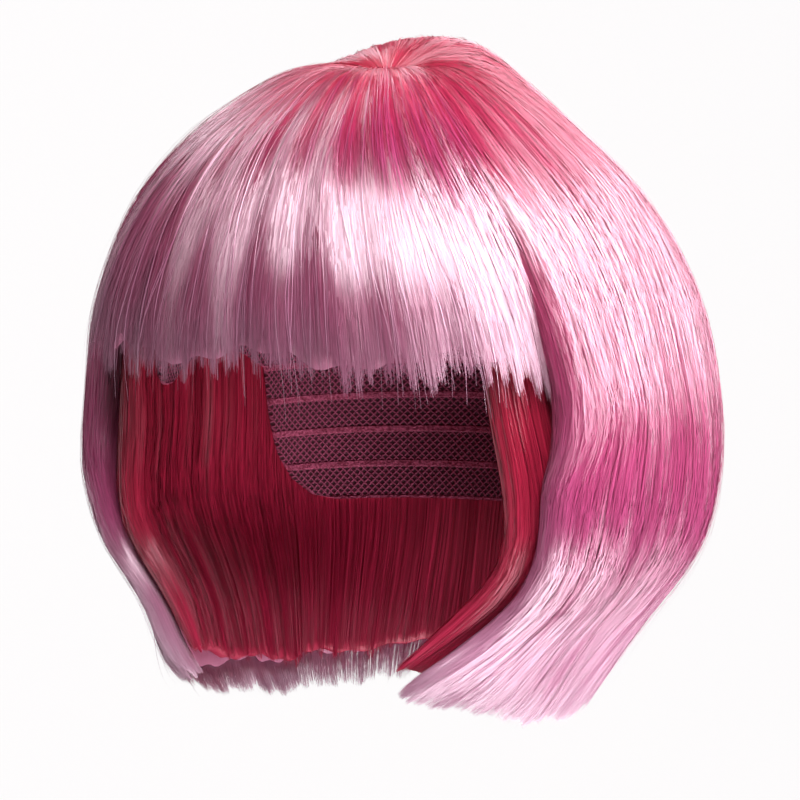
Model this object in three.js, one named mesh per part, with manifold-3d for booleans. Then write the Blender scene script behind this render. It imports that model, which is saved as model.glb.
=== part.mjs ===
// A bob wig with a straight fringe: a thin stretch cap, an under layer of wefts round the sides and nape, an
// outer layer that falls from a whorl on the crown to the tips, and the fringe over the brow. The outer layer
// is parted into locks. Millimetres, +Z up, the face towards -Y and the wearer's left towards +X. The origin
// is on the head's upright middle line, level with the inside top of the cap.

import * as THREE from "three";
import { mergeVertices } from "three/addons/utils/BufferGeometryUtils.js";
import Module from "manifold-3d";

// The head that the cap fits, at its girth, and how far the girth lies below the top of the head
const headWidth = 154;
const headFront = 95;
const headBack = 97;
const crownHeight = 100;

// The fall of the hair from the girth down to its tips, and how much higher the tips are beside the face
const hairFall = 117;
const tipRise = 25;

// The greatest depth of hair on the head, in front, at the sides and at the back
const frontDepth = 15;
const sideDepth = 26;
const backDepth = 23;

// The whorl that the hair spreads from: how far it lies in front of the head's middle, and its dimple's depth
const whorlForward = 12;
const whorlDepth = 5;

// The cap's cloth, and its edge: heights below the top of the head at the brow, over the ear and at the nape
const capWall = 1.6;
const capBrowDrop = 60;
const capEarDrop = 96;
const capNapeDrop = 150;

// Clearances between the cap and the hair, between the two layers, and between pieces side by side
const seatGap = 0.4;
const layerGap = 0.6;
const jointGap = 0.6;

// Locks: how deep the furrow between two is, how much their tips differ in length, and how thin they end
const lockRelief = 2.2;
const tipStagger = 6;
const tipDepth = 3;

// The fringe ends this far below the top of the head, and this share of its depth is left where its ends tuck
// under the side hair
const fringeDrop = 96;
const fringeEndShare = 0.25;

// Round the head there are this many locks, and each has three columns of facets
const lockCount = 36;
const lockColumns = 3;
const columnCount = lockCount * lockColumns;
const columnAngle = (2 * Math.PI) / columnCount;

// Pieces of the outer layer, in locks counted round from the middle of the fringe
const fringeLocks = 5;
const sideLocks = 7;
const fringeColumn = fringeLocks * lockColumns;
const sideColumn = fringeColumn + sideLocks * lockColumns;
const backColumn = columnCount - sideColumn;
// Beside the face the outer layer starts this many columns behind the under layer
const outerSetBack = 1;

// The rings of the crown, by their angle from the whorl in degrees down to the girth at 90. front, side and
// back are shares of the three depths of hair. corner is a share of the side depth, added before the ears,
// and under is the share of all the hair that the under layer takes.
const crownRings = [
  { angle: 0, front: 0.3, side: 0.2, back: 0.24, corner: 0, under: 0 },
  { angle: 6, front: 0.5, side: 0.34, back: 0.46, corner: 0, under: 0 },
  { angle: 12, front: 0.72, side: 0.46, back: 0.86, corner: 0, under: 0 },
  { angle: 20, front: 0.85, side: 0.56, back: 1.08, corner: 0, under: 0 },
  { angle: 30, front: 0.88, side: 0.58, back: 0.86, corner: 0, under: 0 },
  { angle: 42, front: 1, side: 0.63, back: 0.66, corner: 0.02, under: 0 },
  { angle: 54, front: 1.05, side: 0.77, back: 0.72, corner: 0.06, under: 0.12 },
  { angle: 66, front: 1, side: 0.86, back: 0.8, corner: 0.12, under: 0.3 },
  { angle: 78, front: 0.86, side: 0.93, back: 0.9, corner: 0.2, under: 0.38 },
  { angle: 90, front: 0.68, side: 0.98, back: 0.98, corner: 0.29, under: 0.42 },
];

// The rings below the girth. drop is a share of the fall, and width, front and back are shares of the head's
// sizes. face is the angle in degrees from the middle of the face to the front edge of the side hair.
const fallRings = [
  {
    drop: 0.17, width: 1.03, front: 0.93, back: 0.98, face: 53,
    frontHair: 1.1, sideHair: 0.94, backHair: 1.09, corner: 0.24, under: 0.45,
  },
  {
    drop: 0.31, width: 1.06, front: 0.93, back: 0.92, face: 54,
    frontHair: 1.1, sideHair: 0.77, backHair: 1.26, corner: 0.26, under: 0.46,
  },
  {
    drop: 0.43, width: 1.05, front: 0.94, back: 0.87, face: 54,
    frontHair: 1.1, sideHair: 0.62, backHair: 1.35, corner: 0.23, under: 0.47,
  },
  {
    drop: 0.54, width: 0.97, front: 0.94, back: 0.84, face: 52,
    frontHair: 1, sideHair: 0.54, backHair: 1.15, corner: 0.2, under: 0.47,
  },
  {
    drop: 0.64, width: 0.87, front: 0.94, back: 0.82, face: 47,
    frontHair: 0.95, sideHair: 0.5, backHair: 0.92, corner: 0.18, under: 0.45,
  },
  {
    drop: 0.75, width: 0.78, front: 0.93, back: 0.8, face: 40,
    frontHair: 0.9, sideHair: 0.46, backHair: 0.7, corner: 0.22, under: 0.4,
  },
  {
    drop: 0.85, width: 0.72, front: 0.93, back: 0.77, face: 33,
    frontHair: 0.8, sideHair: 0.4, backHair: 0.5, corner: 0.26, under: 0.34,
  },
  {
    drop: 0.93, width: 0.67, front: 0.93, back: 0.75, face: 27,
    frontHair: 0.7, sideHair: 0.34, backHair: 0.38, corner: 0.26, under: 0.25,
  },
  {
    drop: 1, width: 0.63, front: 0.92, back: 0.73, face: 24,
    frontHair: 0.5, sideHair: 0.26, backHair: 0.3, corner: 0.22, under: 0.2,
  },
];

// The plan of a ring is a rounded oval, by halves: 2 is an ellipse, more is squarer and less is more pointed
const crownSquareness = { front: 2.15, back: 1.88 };
const fallSquareness = { front: 2.3, back: 2.3 };

const radians = THREE.MathUtils.degToRad;
const mix = THREE.MathUtils.lerp;
const fringeEdge = (2 * Math.PI * fringeLocks) / lockCount;

// One ring of the crown in millimetres
function crownRing({ angle, front, side, back, corner, under }) {
  const turn = radians(angle);
  return {
    middle: -whorlForward * Math.cos(turn),
    height: capWall - crownHeight * (1 - Math.cos(turn)),
    width: (headWidth / 2) * Math.sin(turn),
    front: headFront * Math.sin(turn),
    back: headBack * Math.sin(turn),
    frontSquare: mix(crownSquareness.front, fallSquareness.front, Math.sin(turn) ** 4),
    backSquare: mix(crownSquareness.back, fallSquareness.back, Math.sin(turn) ** 4),
    frontHair: frontDepth * front,
    sideHair: sideDepth * side,
    backHair: backDepth * back,
    corner: sideDepth * corner,
    under,
    face: fringeEdge,
    rise: 0,
  };
}

// One ring below the girth in millimetres
function fallRing(row) {
  return {
    middle: 0,
    height: capWall - crownHeight - hairFall * row.drop,
    width: (headWidth / 2) * row.width,
    front: headFront * row.front,
    back: headBack * row.back,
    frontSquare: fallSquareness.front,
    backSquare: fallSquareness.back,
    frontHair: frontDepth * row.frontHair,
    sideHair: sideDepth * row.sideHair,
    backHair: backDepth * row.backHair,
    corner: sideDepth * row.corner,
    under: row.under,
    face: radians(row.face),
    rise: tipRise * row.drop,
  };
}

const rings = [...crownRings.map(crownRing), ...fallRings.map(fallRing)];
const lastRing = rings.length - 1;
const whorlRing = 1;
const underRing = crownRings.findIndex((row) => row.under > 0);
const girthRing = crownRings.length - 1;

// The ring at any place between two rows: place 0 is the whorl's middle and lastRing is the tips
function ringAt(place) {
  const low = THREE.MathUtils.clamp(Math.floor(place), 0, lastRing - 1);
  const ring = {};
  for (const key of Object.keys(rings[0])) ring[key] = mix(rings[low][key], rings[low + 1][key], place - low);
  return ring;
}

// The place on the rings of a height below the top of the head
function placeOfDrop(drop) {
  const low = rings.findIndex((ring) => ring.height <= -drop) - 1;
  return low + (rings[low].height + drop) / (rings[low].height - rings[low + 1].height);
}

// Below the girth a lock that starts at the angle round leans forward, so that the hair closes in on the face
function lean(round, ring) {
  const away = Math.abs(round);
  if (away <= fringeEdge) return (round * ring.face) / fringeEdge;
  return Math.sign(round) * (Math.PI - ((Math.PI - away) * (Math.PI - ring.face)) / (Math.PI - fringeEdge));
}

// A point of the form that the hair lies on. round is the angle from the middle of the fringe, growing
// towards the wearer's left
function formPoint(place, round) {
  const ring = ringAt(place);
  const angle = lean(round, ring);
  const across = Math.abs(Math.sin(angle)) / Math.max(ring.width, 1e-6);
  const forward = Math.abs(Math.cos(angle)) / Math.max(Math.cos(angle) > 0 ? ring.front : ring.back, 1e-6);
  const square = Math.cos(angle) > 0 ? ring.frontSquare : ring.backSquare;
  const reach = (across ** square + forward ** square) ** (-1 / square);
  const beside = ((1 + Math.cos(angle)) / 2) ** 3;
  return new THREE.Vector3(
    reach * Math.sin(angle),
    ring.middle - reach * Math.cos(angle),
    ring.height + ring.rise * beside,
  );
}

// The form's outward normal there
function formNormal(place, round) {
  const step = 0.05;
  const low = Math.max(place, 0.3);
  const down = formPoint(low + step, round).sub(formPoint(low - step, round));
  const along = formPoint(low, round + step).sub(formPoint(low, round - step));
  return down.cross(along).normalize();
}

// The depth of all the hair there. The corner's share is greatest at cornerAngle from the middle of the face
const cornerAngle = Math.acos(Math.sqrt(1 / 3));

function hairDepth(place, round) {
  const ring = ringAt(place);
  const angle = lean(round, ring);
  const ahead = Math.cos(angle) > 0 ? ring.frontHair : ring.backHair;
  const bulge = (turn) => Math.max(Math.cos(turn), 0) * Math.sin(turn) ** 2;
  const corner = (ring.corner * bulge(angle)) / bulge(cornerAngle);
  return mix(ahead, ring.sideHair, Math.sin(angle) ** 2) + corner;
}

// A point above the form, by its height over it in millimetres, and the same straight over the whorl
const above = (place, round, height) =>
  formPoint(place, round).addScaledVector(formNormal(place, round), height);
const aboveWhorl = (height) => new THREE.Vector3(0, -whorlForward, capWall + height);

// Each lock stands out of the furrows beside it and lies over its neighbour, higher on one side
const lockProfile = [-1, 0, -0.3];

function lockHeight(column, place) {
  const lock = Math.floor(column / lockColumns);
  const lift = 0.75 + 0.25 * Math.sin(2.4 * lock);
  const fade = THREE.MathUtils.smoothstep(place, whorlRing, underRing);
  return lockRelief * lift * fade * lockProfile[((column % lockColumns) + lockColumns) % lockColumns];
}

// How much shorter than the longest a lock's tip is, with a notch between two tips
function tipCut(column) {
  const lock = Math.floor(column / lockColumns);
  const notch = column % lockColumns === 0 ? 0.5 : 0;
  return tipStagger * (notch + 0.5 * (0.5 + 0.5 * Math.sin(1.9 * lock + 1)));
}

// Places from one ring to an end between rings, with the last one moved up by the lock's cut
function placesTo(first, end) {
  const places = [];
  for (let place = first; place < end - 0.25; place++) places.push(place);
  return (column) => {
    const round = column * columnAngle;
    const length = formPoint(end, round).distanceTo(formPoint(end - 0.5, round));
    return [...places, end - (0.5 * tipCut(column)) / length];
  };
}

// How far the under layer reaches above the form
function underTop(place, round) {
  const inside = Math.abs(round) > fringeEdge - columnAngle;
  return inside ? ringAt(place).under * hairDepth(place, round) : 0;
}

// A closed solid between two sheets of points. outer and inner give the point at row and column.
// With wrapped the last column joins the first, and points that fall together, as at a pole, are merged.
function slab(rowCount, columns, outer, inner, wrapped = false) {
  const positions = [];
  for (const sheet of [outer, inner])
    for (let row = 0; row < rowCount; row++)
      for (let column = 0; column < columns; column++) positions.push(...sheet(row, column).toArray());
  const at = (side, row, column) => (side * rowCount + row) * columns + (column % columns);
  const faces = [];
  const quad = (a, b, c, d) => faces.push(a, b, c, a, c, d);
  const spans = wrapped ? columns : columns - 1;
  for (let column = 0; column < spans; column++) {
    const next = column + 1;
    for (let row = 0; row + 1 < rowCount; row++) {
      quad(at(0, row, column), at(0, row + 1, column), at(0, row + 1, next), at(0, row, next));
      quad(at(1, row, column), at(1, row, next), at(1, row + 1, next), at(1, row + 1, column));
    }
    const last = rowCount - 1;
    quad(at(0, last, column), at(1, last, column), at(1, last, next), at(0, last, next));
    quad(at(1, 0, column), at(0, 0, column), at(0, 0, next), at(1, 0, next));
  }
  for (let row = 0; row + 1 < rowCount && !wrapped; row++) {
    quad(at(1, row, 0), at(1, row + 1, 0), at(0, row + 1, 0), at(0, row, 0));
    const end = columns - 1;
    quad(at(0, row, end), at(0, row + 1, end), at(1, row + 1, end), at(1, row, end));
  }
  const geometry = new THREE.BufferGeometry();
  geometry.setAttribute("position", new THREE.Float32BufferAttribute(positions, 3));
  geometry.setIndex(faces);
  return withoutSlivers(mergeVertices(geometry, 1e-4));
}

// Drops the triangles that merging has folded onto an edge
function withoutSlivers(geometry) {
  const index = geometry.index.array;
  const kept = [];
  for (let i = 0; i < index.length; i += 3) {
    const [a, b, c] = [index[i], index[i + 1], index[i + 2]];
    const folded = a === b || b === c || c === a;
    if (!folded) kept.push(a, b, c);
  }
  geometry.setIndex(kept);
  return geometry;
}

// The edges of a piece give up half the joint's gap, measured along the surface
function jointed(place, round, side) {
  const step = 0.01;
  const width = formPoint(place, round + step).distanceTo(formPoint(place, round - step)) / (2 * step);
  return round + (side * jointGap) / 2 / width;
}

// Below the fringe the columns of the side hair draw back from the face, the front one the most
const freeOfFringe = (place) =>
  THREE.MathUtils.smoothstep(place, placeOfDrop(fringeDrop) - 1, placeOfDrop(fringeDrop) + 0.5);

function drawnBack(place, column) {
  const share = (sideColumn - Math.abs(column)) / (sideColumn - fringeColumn);
  const back = share > 0 && share <= 1 ? outerSetBack * share * freeOfFringe(place) : 0;
  return (column + Math.sign(column) * back) * columnAngle;
}

// A piece of the outer layer from the whorl to the end place, between two columns from the fringe's middle
function outerHair(firstColumn, lastColumn, end) {
  const isFringe = end < lastRing;
  const places = placesTo(whorlRing, end);
  const columns = lastColumn - firstColumn + 1;
  const rows = places(firstColumn).length;
  const sheet = (high) => (row, column) => {
    const count = firstColumn + column;
    const place = places(count)[row];
    const side = column === 0 ? 1 : column === columns - 1 ? -1 : 0;
    const round = jointed(place, isFringe ? count * columnAngle : drawnBack(place, count), side);
    const under = isFringe ? 0 : underTop(place, round);
    const floor = under > 0 ? seatGap + under + layerGap : seatGap;
    const end = THREE.MathUtils.smoothstep(Math.abs(count), fringeColumn - 2 * lockColumns, fringeColumn);
    const tuck = isFringe ? end * THREE.MathUtils.smoothstep(place, whorlRing, girthRing) : 0;
    const depth = hairDepth(place, round) * mix(1, fringeEndShare, tuck);
    const top = Math.max(depth + lockHeight(count, place), floor + tipDepth);
    const bare = Math.abs(count) === fringeColumn && !isFringe ? freeOfFringe(place) : 0;
    const rounding = 0.12 * bare * (top - floor);
    if (high) return above(place, round, top - rounding);
    return above(place, round, row === rows - 1 ? Math.max(top - tipDepth, floor) : floor + rounding);
  };
  return slab(rows, columns, sheet(true), sheet(false));
}

// A piece of the under layer, on every third column, between the cap and the outer layer
function underHair(firstColumn, lastColumn) {
  const places = placesTo(underRing, lastRing - 1);
  const columns = Math.round((lastColumn - firstColumn) / lockColumns) + 1;
  const rows = places(firstColumn).length;
  const sheet = (high) => (row, column) => {
    const count = firstColumn + column * lockColumns;
    const place = places(count)[row];
    const side = column === 0 ? 1 : column === columns - 1 ? -1 : 0;
    const round = jointed(place, count * columnAngle, side);
    return above(place, round, seatGap + (high ? underTop(place, round) : 0));
  };
  return slab(rows, columns, sheet(true), sheet(false));
}

// The small coil of weft that closes the cap under the whorl
function whorl() {
  const step = 0.02;
  const length = formPoint(whorlRing, 0).distanceTo(formPoint(whorlRing - step, 0)) / step;
  const edge = whorlRing - jointGap / length;
  const places = [0, edge / 2, edge];
  const columns = columnCount / lockColumns;
  const sheet = (height) => (row, column) => {
    const round = column * columnAngle * lockColumns;
    const rim = above(places[row], round, height * (1 + 0.3 * places[row]));
    return row === 0 ? aboveWhorl(height) : rim;
  };
  return slab(places.length, columns, sheet(whorlDepth), sheet(seatGap), true);
}

const wasm = await Module();
wasm.setup();

function toSolid(geometry) {
  const bare = geometry.clone();
  bare.deleteAttribute("normal");
  bare.deleteAttribute("uv");
  const merged = withoutSlivers(mergeVertices(bare, 1e-4));
  return new wasm.Manifold(
    new wasm.Mesh({
      numProp: 3,
      vertProperties: merged.attributes.position.array,
      triVerts: new Uint32Array(merged.index.array),
    }),
  );
}

function toGeometry(solid) {
  const mesh = solid.getMesh();
  const geometry = new THREE.BufferGeometry();
  geometry.setAttribute("position", new THREE.BufferAttribute(mesh.vertProperties, 3));
  geometry.setIndex(new THREE.BufferAttribute(mesh.triVerts, 1));
  return geometry;
}

// What is kept of the cap, seen from the side: above the brow, over the ear and down to the nape
function capKeep() {
  const room = headWidth;
  const profile = new THREE.Shape();
  profile.moveTo(-room, room);
  profile.lineTo(-room, -capBrowDrop);
  profile.lineTo(-0.8 * headFront, -capBrowDrop);
  profile.quadraticCurveTo(-0.6 * headFront, -capBrowDrop, -0.52 * headFront, -capEarDrop);
  profile.quadraticCurveTo(-0.42 * headFront, -1.08 * capEarDrop, -0.3 * headFront, -capEarDrop);
  profile.quadraticCurveTo(0, -0.86 * capEarDrop, 0.3 * headBack, -1.04 * capEarDrop);
  profile.quadraticCurveTo(0.42 * headBack, -capNapeDrop, 0.6 * headBack, -capNapeDrop);
  profile.lineTo(room, -capNapeDrop);
  profile.lineTo(room, room);
  const options = { depth: 2 * room, bevelEnabled: false, curveSegments: 5 };
  const across = new THREE.ExtrudeGeometry(profile, options);
  // The shape's x becomes the row's Y and its y becomes Z
  across.applyMatrix4(new THREE.Matrix4().makeBasis(
    new THREE.Vector3(0, 1, 0),
    new THREE.Vector3(0, 0, 1),
    new THREE.Vector3(1, 0, 0),
  ));
  across.translate(-room, 0, 0);
  return across;
}

// The stretch cap: the form's own surface, one wall thick, cut along the hairline
function cap() {
  const end = placeOfDrop(capNapeDrop) + 1;
  const rows = Math.ceil(end) + 1;
  const step = lockColumns;
  const columns = columnCount / step;
  const sheet = (height) => (row, column) =>
    row === 0 ? aboveWhorl(height) : above(Math.min(row, end), column * step * columnAngle, height);
  const shell = slab(rows, columns, sheet(0), sheet(-capWall), true);
  return toGeometry(toSolid(shell).intersect(toSolid(capKeep())));
}

const hairMaterial = (color) => new THREE.MeshStandardMaterial({ color, roughness: 0.35, metalness: 0 });
const pink = hairMaterial(0xe3a3bf);
const deepPink = hairMaterial(0xb8325a);
const whorlPink = hairMaterial(0xc8145f);
const netPink = new THREE.MeshStandardMaterial({ color: 0x9c2c50, roughness: 0.9, metalness: 0 });

const wig = new THREE.Group();

function add(name, geometry, material) {
  const mesh = new THREE.Mesh(geometry, material);
  mesh.name = name;
  wig.add(mesh);
}

add("cap", cap(), netPink);
add("crown_whorl", whorl(), whorlPink);
add("fringe", outerHair(-fringeColumn, fringeColumn, placeOfDrop(fringeDrop)), pink);
add("hair_left", outerHair(fringeColumn, sideColumn, lastRing), pink);
add("hair_right", outerHair(-sideColumn, -fringeColumn, lastRing), pink);
add("hair_back", outerHair(sideColumn, backColumn, lastRing), pink);
add("under_left", underHair(fringeColumn, sideColumn), deepPink);
add("under_right", underHair(-sideColumn, -fringeColumn), deepPink);
add("under_back", underHair(sideColumn, backColumn), deepPink);

export default wig;
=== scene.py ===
import math

import bpy
import numpy as np
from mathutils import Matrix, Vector


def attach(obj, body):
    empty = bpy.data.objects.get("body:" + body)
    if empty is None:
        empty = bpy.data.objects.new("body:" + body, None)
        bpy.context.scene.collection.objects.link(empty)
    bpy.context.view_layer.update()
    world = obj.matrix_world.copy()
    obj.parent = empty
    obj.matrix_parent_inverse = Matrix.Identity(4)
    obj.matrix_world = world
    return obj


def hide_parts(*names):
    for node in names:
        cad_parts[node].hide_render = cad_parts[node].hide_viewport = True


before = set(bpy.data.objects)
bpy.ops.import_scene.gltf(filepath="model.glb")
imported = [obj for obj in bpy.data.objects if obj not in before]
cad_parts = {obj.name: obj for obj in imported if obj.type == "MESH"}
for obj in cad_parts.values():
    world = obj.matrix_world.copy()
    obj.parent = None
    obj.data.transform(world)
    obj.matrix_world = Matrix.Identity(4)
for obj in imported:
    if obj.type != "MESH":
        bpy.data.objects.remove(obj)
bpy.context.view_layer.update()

# Camera and studio. A long lens looks from the wearer's left front, a little above, as the photograph does.
# Large soft boxes hang over the front and beside the near side, weaker ones fill in from below, from the far
# side and from behind, and the floor is a plain pale sweep.
view_azimuth = math.radians(30)
view_elevation = math.radians(6)
view_distance = 1.408
view_aim = Vector((-0.0010, -0.0004, -0.1051))


def toward(azimuth, elevation):
    flat = math.cos(elevation)
    return Vector((math.sin(azimuth) * flat, -math.cos(azimuth) * flat, math.sin(elevation)))


def look_at(thing, target):
    thing.rotation_euler = (target - thing.location).to_track_quat("-Z", "Y").to_euler()


camera_data = bpy.data.cameras.new("camera")
camera_data.lens = 183
camera_data.sensor_width = 36
camera_data.clip_end = 50
camera = bpy.data.objects.new("camera", camera_data)
bpy.context.scene.collection.objects.link(camera)
camera.location = view_aim + toward(view_azimuth, view_elevation) * view_distance
look_at(camera, view_aim)
bpy.context.scene.camera = camera

hair_middle = Vector((0, 0, -0.1))


def soft_box(name, azimuth, elevation, distance, width, height, watts):
    data = bpy.data.lights.new(name, "AREA")
    data.shape = "RECTANGLE"
    data.size = width
    data.size_y = height
    data.energy = watts
    light = bpy.data.objects.new(name, data)
    light.visible_camera = False
    bpy.context.scene.collection.objects.link(light)
    light.location = hair_middle + toward(math.radians(azimuth), math.radians(elevation)) * distance
    look_at(light, hair_middle)


# name, azimuth and elevation in degrees, distance, width and height in metres, watts
for box in (
    ("front_box", 37, 47, 1.3, 0.75, 0.95, 22),
    ("side_box", 108, 25, 1.3, 0.85, 1.25, 42),
    ("rim_box", -112, 38, 1.4, 0.35, 0.45, 6),
    ("low_box", 74, -50, 1.0, 0.75, 0.5, 9),
    ("left_box", -80, -24, 1.6, 0.6, 0.9, 5),
    ("back_box", 190, 30, 1.6, 0.8, 0.6, 5),
):
    soft_box(*box)


def camera_strength(tree, socket, lit, seen):
    """A strength of its own for what the camera sees, so that the pale room doesn't wash out the gloss."""
    path = tree.nodes.new("ShaderNodeLightPath")
    strength = tree.nodes.new("ShaderNodeMapRange")
    strength.inputs["To Min"].default_value = lit
    strength.inputs["To Max"].default_value = seen
    tree.links.new(path.outputs["Is Camera Ray"], strength.inputs["Value"])
    tree.links.new(strength.outputs[0], socket)


world = bpy.data.worlds.new("studio")
world.use_nodes = True
sky = world.node_tree.nodes["Background"]
sky.inputs["Color"].default_value = (1, 1, 1, 1)
camera_strength(world.node_tree, sky.inputs["Strength"], lit=0.06, seen=0.9)
bpy.context.scene.world = world
bpy.context.scene.view_settings.view_transform = "Standard"


def new_object(name, vertices, faces, uvs=None):
    mesh = bpy.data.meshes.new(name)
    mesh.from_pydata([tuple(v) for v in vertices], [], faces)
    if uvs is not None:
        layer = mesh.uv_layers.new(name="UVMap")
        corner = np.empty(len(mesh.loops), dtype=np.int32)
        mesh.loops.foreach_get("vertex_index", corner)
        layer.data.foreach_set("uv", np.asarray(uvs, dtype=np.float32)[corner].ravel())
    mesh.polygons.foreach_set("use_smooth", [True] * len(mesh.polygons))
    mesh.update()
    obj = bpy.data.objects.new(name, mesh)
    bpy.context.scene.collection.objects.link(obj)
    return obj


def new_material(name):
    material = bpy.data.materials.new(name)
    material.use_nodes = True
    tree = material.node_tree
    return material, tree, tree.nodes["Principled BSDF"]


# the floor is a wide round disc that turns up all round into a plain wall
floor_height, floor_reach, floor_turn, wall_height = -1.5, 2.2, 1.3, 3.2
turn_steps = 8
profile = [(0.02, 0.0), (floor_reach, 0.0)]
for step in range(1, turn_steps + 1):
    turn = math.pi / 2 * step / turn_steps
    profile.append((floor_reach + floor_turn * math.sin(turn), floor_turn * (1 - math.cos(turn))))
profile.append((floor_reach + floor_turn, floor_turn + wall_height))
around = 48
floor_points = [
    (out * math.cos(2 * math.pi * k / around), out * math.sin(2 * math.pi * k / around), floor_height + up)
    for out, up in profile for k in range(around)
]
floor_faces = [
    (i * around + k, i * around + (k + 1) % around, (i + 1) * around + (k + 1) % around, (i + 1) * around + k)
    for i in range(len(profile) - 1) for k in range(around)
]
floor = new_object("floor_sweep", floor_points, floor_faces + [tuple(reversed(range(around)))])
floor_material, floor_tree, floor_shader = new_material("floor_pale")
floor_shader.inputs["Base Color"].default_value = (0.35, 0.345, 0.345, 1)
floor_shader.inputs["Roughness"].default_value = 0.8
floor_shader.inputs["Emission Color"].default_value = (1, 0.985, 0.99, 1)
camera_strength(floor_tree, floor_shader.inputs["Emission Strength"], lit=0.04, seen=0.84)
floor_material.cycles.emission_sampling = "NONE"
floor.data.materials.append(floor_material)

# Cap. A knitted stretch net of deep pink yarn, with rows of weft tape sewn round it, one wall thick and cut
# along the brow, the ears and the nape. The solid has its shape, so it only gets its cloth.
mesh_pitch, weft_pitch, cap_radius = 0.0026, 0.0125, 0.085


def link(tree, a, b):
    tree.links.new(a, b)


def math_node(tree, operation, *values):
    node = tree.nodes.new("ShaderNodeMath")
    node.operation = operation
    for socket, value in zip(node.inputs, values):
        if isinstance(value, bpy.types.NodeSocket):
            link(tree, value, socket)
        else:
            socket.default_value = value
    return node.outputs[0]


def ramp(tree, factor, stops):
    node = tree.nodes.new("ShaderNodeValToRGB")
    link(tree, factor, node.inputs[0])
    node.color_ramp.elements[0].position = stops[0][0]
    node.color_ramp.elements[0].color = (*stops[0][1], 1)
    node.color_ramp.elements[1].position = stops[-1][0]
    node.color_ramp.elements[1].color = (*stops[-1][1], 1)
    for position, colour in stops[1:-1]:
        node.color_ramp.elements.new(position).color = (*colour, 1)
    return node.outputs[0]


def mixed(tree, factor, a, b):
    node = tree.nodes.new("ShaderNodeMix")
    node.data_type = "RGBA"
    for socket, value in ((node.inputs["Factor"], factor), (node.inputs[6], a), (node.inputs[7], b)):
        if isinstance(value, bpy.types.NodeSocket):
            link(tree, value, socket)
        else:
            socket.default_value = value if isinstance(value, float) else (*value, 1)
    return node.outputs[2]


cap_material, cap_tree, cap_shader = new_material("cap_net")
coordinates = cap_tree.nodes.new("ShaderNodeTexCoord").outputs["Object"]
cap_place = cap_tree.nodes.new("ShaderNodeSeparateXYZ")
link(cap_tree, coordinates, cap_place.inputs[0])
bearing = math_node(cap_tree, "ARCTAN2", cap_place.outputs[0], cap_place.outputs[1])
girth = math_node(cap_tree, "MULTIPLY", bearing, cap_radius)


def knit_line(sign):
    slope = math_node(cap_tree, "ADD", girth, math_node(cap_tree, "MULTIPLY", cap_place.outputs[2], sign))
    turns = math_node(cap_tree, "MULTIPLY", slope, math.pi / mesh_pitch)
    wave = math_node(cap_tree, "ABSOLUTE", math_node(cap_tree, "COSINE", turns))
    return math_node(cap_tree, "POWER", wave, 6.0)


thread = math_node(cap_tree, "MAXIMUM", knit_line(1.0), knit_line(-1.0))
weft_turns = math_node(cap_tree, "MULTIPLY", cap_place.outputs[2], 2 * math.pi / weft_pitch)
weft = cap_tree.nodes.new("ShaderNodeMapRange")
weft.interpolation_type = "SMOOTHSTEP"
weft.inputs["From Min"].default_value = 0.72
weft.inputs["From Max"].default_value = 0.92
link(cap_tree, math_node(cap_tree, "COSINE", weft_turns), weft.inputs["Value"])
stitch = cap_tree.nodes.new("ShaderNodeTexNoise")
stitch.inputs["Scale"].default_value = 900
stitch.inputs["Detail"].default_value = 1.0
link(cap_tree, coordinates, stitch.inputs["Vector"])
net = ramp(cap_tree, thread, [(0.0, (0.05, 0.004, 0.014)), (0.6, (0.34, 0.05, 0.12))])
band = ramp(cap_tree, stitch.outputs[0], [(0.35, (0.24, 0.02, 0.06)), (0.65, (0.52, 0.09, 0.19))])
link(cap_tree, mixed(cap_tree, weft.outputs[0], net, band), cap_shader.inputs["Base Color"])
cap_shader.inputs["Roughness"].default_value = 0.85
cap_bump = cap_tree.nodes.new("ShaderNodeBump")
cap_bump.inputs["Strength"].default_value = 0.7
cap_bump.inputs["Distance"].default_value = 0.0008
tape = math_node(cap_tree, "MULTIPLY", weft.outputs[0], math_node(cap_tree, "ADD", stitch.outputs[0], 1.0))
link(cap_tree, math_node(cap_tree, "MAXIMUM", thread, tape), cap_bump.inputs["Height"])
link(cap_tree, cap_bump.outputs[0], cap_shader.inputs["Normal"])
cap_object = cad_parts["cap"]
cap_object.data.materials.clear()
cap_object.data.materials.append(cap_material)

# Under layer. Inner wefts of glossy filament, sewn in rows to the cap's sides and nape, behind the outer
# layer.
# Their deep crimson is painted shade: the saturated colour that the pink fibre takes in the shade under the
# outer layer. Each is a body of hair with single strands laid over it by one node tree, which follows a flow
# sheet whose U runs across the piece and whose V runs from root to tip.

# the form that all the hair takes, in millimetres: each ring is a rounded oval, down from the whorl to the
# girth and on to the tips, with the depth of hair in front, at the side and behind
head_width, head_front, head_back, crown_height = 154, 95, 97, 100
hair_fall, tip_rise = 117, 25
front_depth, side_depth, back_depth = 15, 26, 23
whorl_forward, cap_wall = 12, 1.6
seat_gap, ring_pitch, edge_steps = 0.4, 12, 6
lock_count, lock_columns, fringe_locks, side_locks = 36, 3, 5, 7
column_angle = 2 * math.pi / (lock_count * lock_columns)
fringe_column = fringe_locks * lock_columns
side_column = fringe_column + side_locks * lock_columns
back_column = lock_count * lock_columns - side_column
fringe_edge = fringe_column * column_angle
crown_square = (2.15, 1.88)
fall_square = (2.3, 2.3)

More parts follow.
